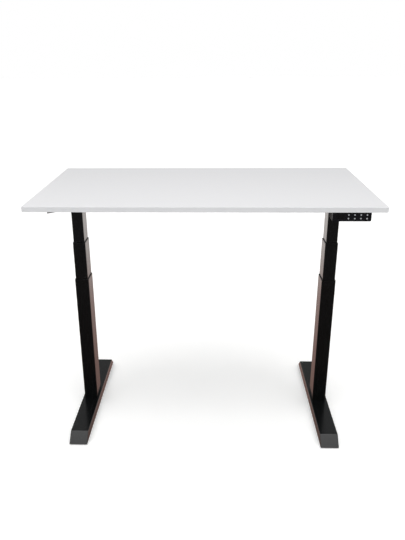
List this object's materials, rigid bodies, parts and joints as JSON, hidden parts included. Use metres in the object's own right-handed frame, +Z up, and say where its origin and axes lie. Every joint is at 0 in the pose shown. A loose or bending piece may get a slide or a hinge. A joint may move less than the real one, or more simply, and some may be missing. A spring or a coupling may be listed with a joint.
{
  "type": "height adjustable standing desk",
  "caption": "Height adjustable desk: white rectangular board on a black steel frame with two three-stage telescopic columns, flat feet and a keypad under the front edge.",
  "frame": {"origin": "on the floor, under the middle of the board", "axes": "+X along the board to the right as seen from the front, +Y from front to back, +Z up"},
  "size_m": [1.2, 0.7, 0.95],
  "materials": {
    "white_melamine": "white melamine facing with a fine satin texture, on particleboard",
    "white_edge_band": "white ABS edge band",
    "black_powder_coat": "black powder coat, fine texture",
    "black_nylon": "moulded black nylon",
    "white_acetal": "moulded acetal",
    "zinc_plated_steel": "zinc plated",
    "screw_steel": "rolled and greased steel",
    "drive_tube_steel": "drawn steel",
    "gearbox_nylon": "glass-filled nylon",
    "motor_paint": "black enamelled can",
    "glide_rubber": "moulded rubber",
    "pad_rubber": "soft rubber",
    "control_box_abs": "textured ABS",
    "circuit_board": "solder mask on glass epoxy",
    "inlet_plastic": "moulded black plastic",
    "handset_abs": "textured ABS",
    "handset_gloss": "glossy black facing",
    "button_grey": "light grey button caps"
  },
  "bodies": {
    "left_base": {"outer_tube_left": "black_powder_coat", "outer_collar_left": "black_nylon", "base_plate_left": "zinc_plated_steel", "foot_left": "black_powder_coat", "foot_bolts_left": "zinc_plated_steel"},
    "left_middle_stage": {"middle_tube_left": "black_powder_coat", "middle_collar_left": "black_nylon", "middle_nut_carrier_left": "white_acetal"},
    "top": {"column_head_left": "black_powder_coat", "column_head_right": "black_powder_coat", "control_box_housing": "control_box_abs", "control_box_lid": "control_box_abs", "control_circuit_board": "circuit_board", "crossbeam_back_rail": "black_powder_coat", "crossbeam_front_rail": "black_powder_coat", "desktop": "white_melamine", "desktop_edge_band": "white_edge_band", "frame_bolts": "zinc_plated_steel", "gearbox_housing_left": "gearbox_nylon", "gearbox_housing_right": "gearbox_nylon", "handset_circuit_board": "circuit_board", "handset_front_plate": "handset_gloss", "handset_housing": "handset_abs", "inner_nut_carrier_left": "white_acetal", "inner_nut_carrier_right": "white_acetal", "inner_tube_left": "black_powder_coat", "inner_tube_right": "black_powder_coat", "motor_left": "motor_paint", "motor_right": "motor_paint", "power_inlet": "inlet_plastic", "rubber_pads": "pad_rubber", "side_bracket_left": "black_powder_coat", "side_bracket_right": "black_powder_coat", "wood_screws": "zinc_plated_steel"},
    "right_middle_stage": {"middle_tube_right": "black_powder_coat", "middle_collar_right": "black_nylon", "middle_nut_carrier_right": "white_acetal"},
    "right_base": {"outer_tube_right": "black_powder_coat", "outer_collar_right": "black_nylon", "base_plate_right": "zinc_plated_steel", "foot_right": "black_powder_coat", "foot_bolts_right": "zinc_plated_steel"},
    "left_lower_screw": {"lower_screw_left": "screw_steel"},
    "left_upper_screw": {"upper_screw_left": "screw_steel"},
    "left_drive_tube": {"drive_tube_left": "drive_tube_steel"},
    "left_front_glide": {"glide_left_front": "glide_rubber"},
    "left_back_glide": {"glide_left_back": "glide_rubber"},
    "right_lower_screw": {"lower_screw_right": "screw_steel"},
    "right_upper_screw": {"upper_screw_right": "screw_steel"},
    "right_drive_tube": {"drive_tube_right": "drive_tube_steel"},
    "right_front_glide": {"glide_right_front": "glide_rubber"},
    "right_back_glide": {"glide_right_back": "glide_rubber"},
    "button_down": {"button_down": "button_grey"},
    "button_lock": {"button_lock": "button_grey"},
    "button_memory": {"button_memory": "button_grey"},
    "button_preset_1": {"button_preset_1": "button_grey"},
    "button_preset_2": {"button_preset_2": "button_grey"},
    "button_preset_3": {"button_preset_3": "button_grey"},
    "button_preset_4": {"button_preset_4": "button_grey"},
    "button_up": {"button_up": "button_grey"}
  },
  "joints": [
    {"name": "lift", "type": "slide", "parent": "left_base", "child": "left_middle_stage", "axis": [0, 0, 1], "range_m": [-0.144, 0.168]},
    {"name": "left_upper_lift", "type": "slide", "parent": "left_middle_stage", "child": "top", "axis": [0, 0, 1], "range_m": [-0.144, 0.168]},
    {"name": "right_upper_lift", "type": "slide", "parent": "top", "child": "right_middle_stage", "axis": [0, 0, -1], "range_m": [-0.144, 0.168]},
    {"name": "right_lower_lift", "type": "slide", "parent": "right_middle_stage", "child": "right_base", "axis": [0, 0, -1], "range_m": [-0.144, 0.168]},
    {"name": "left_lower_screw_turn", "type": "hinge", "parent": "left_base", "child": "left_lower_screw", "pos_m": [-0.488, 0, 0.05], "axis": [0, 0, 1], "range_deg": [-4320, 5040]},
    {"name": "left_upper_screw_turn", "type": "hinge", "parent": "left_middle_stage", "child": "left_upper_screw", "pos_m": [-0.488, 0, 0.05], "axis": [0, 0, 1], "range_deg": [-4320, 5040]},
    {"name": "left_drive_tube_turn", "type": "hinge", "parent": "top", "child": "left_drive_tube", "pos_m": [-0.488, 0, 0.05], "axis": [0, 0, 1], "range_deg": [-4320, 5040]},
    {"name": "left_front_glide_turn", "type": "hinge", "parent": "left_base", "child": "left_front_glide", "pos_m": [-0.488, -0.278, 0], "axis": [0, 0, 1], "range_deg": [0, 1800]},
    {"name": "left_back_glide_turn", "type": "hinge", "parent": "left_base", "child": "left_back_glide", "pos_m": [-0.488, 0.292, 0], "axis": [0, 0, 1], "range_deg": [0, 1800]},
    {"name": "right_lower_screw_turn", "type": "hinge", "parent": "right_base", "child": "right_lower_screw", "pos_m": [0.488, 0, 0.05], "axis": [0, 0, 1], "range_deg": [-4320, 5040]},
    {"name": "right_upper_screw_turn", "type": "hinge", "parent": "right_middle_stage", "child": "right_upper_screw", "pos_m": [0.488, 0, 0.05], "axis": [0, 0, 1], "range_deg": [-4320, 5040]},
    {"name": "right_drive_tube_turn", "type": "hinge", "parent": "top", "child": "right_drive_tube", "pos_m": [0.488, 0, 0.05], "axis": [0, 0, 1], "range_deg": [-4320, 5040]},
    {"name": "right_front_glide_turn", "type": "hinge", "parent": "right_base", "child": "right_front_glide", "pos_m": [0.488, -0.278, 0], "axis": [0, 0, 1], "range_deg": [0, 1800]},
    {"name": "right_back_glide_turn", "type": "hinge", "parent": "right_base", "child": "right_back_glide", "pos_m": [0.488, 0.292, 0], "axis": [0, 0, 1], "range_deg": [0, 1800]},
    {"name": "button_down_press", "type": "slide", "parent": "top", "child": "button_down", "axis": [0, 1, 0], "range_m": [0, 0.0006], "stiffness_N_per_m": 1500, "springref_m": -0.0004},
    {"name": "button_lock_press", "type": "slide", "parent": "top", "child": "button_lock", "axis": [0, 1, 0], "range_m": [0, 0.0006], "stiffness_N_per_m": 1500, "springref_m": -0.0004},
    {"name": "button_memory_press", "type": "slide", "parent": "top", "child": "button_memory", "axis": [0, 1, 0], "range_m": [0, 0.0006], "stiffness_N_per_m": 1500, "springref_m": -0.0004},
    {"name": "button_preset_1_press", "type": "slide", "parent": "top", "child": "button_preset_1", "axis": [0, 1, 0], "range_m": [0, 0.0006], "stiffness_N_per_m": 1500, "springref_m": -0.0004},
    {"name": "button_preset_2_press", "type": "slide", "parent": "top", "child": "button_preset_2", "axis": [0, 1, 0], "range_m": [0, 0.0006], "stiffness_N_per_m": 1500, "springref_m": -0.0004},
    {"name": "button_preset_3_press", "type": "slide", "parent": "top", "child": "button_preset_3", "axis": [0, 1, 0], "range_m": [0, 0.0006], "stiffness_N_per_m": 1500, "springref_m": -0.0004},
    {"name": "button_preset_4_press", "type": "slide", "parent": "top", "child": "button_preset_4", "axis": [0, 1, 0], "range_m": [0, 0.0006], "stiffness_N_per_m": 1500, "springref_m": -0.0004},
    {"name": "button_up_press", "type": "slide", "parent": "top", "child": "button_up", "axis": [0, 1, 0], "range_m": [0, 0.0006], "stiffness_N_per_m": 1500, "springref_m": -0.0004}
  ],
  "couplings": [
    {"joint": "left_upper_lift", "follows": "lift", "ratio": 1},
    {"joint": "right_upper_lift", "follows": "lift", "ratio": 1},
    {"joint": "right_lower_lift", "follows": "lift", "ratio": 1},
    {"joint": "left_lower_screw_turn", "follows": "lift", "rad_per_m": 523.6},
    {"joint": "left_upper_screw_turn", "follows": "lift", "rad_per_m": 523.6},
    {"joint": "left_drive_tube_turn", "follows": "lift", "rad_per_m": 523.6},
    {"joint": "right_lower_screw_turn", "follows": "lift", "rad_per_m": 523.6},
    {"joint": "right_upper_screw_turn", "follows": "lift", "rad_per_m": 523.6},
    {"joint": "right_drive_tube_turn", "follows": "lift", "rad_per_m": 523.6}
  ]
}
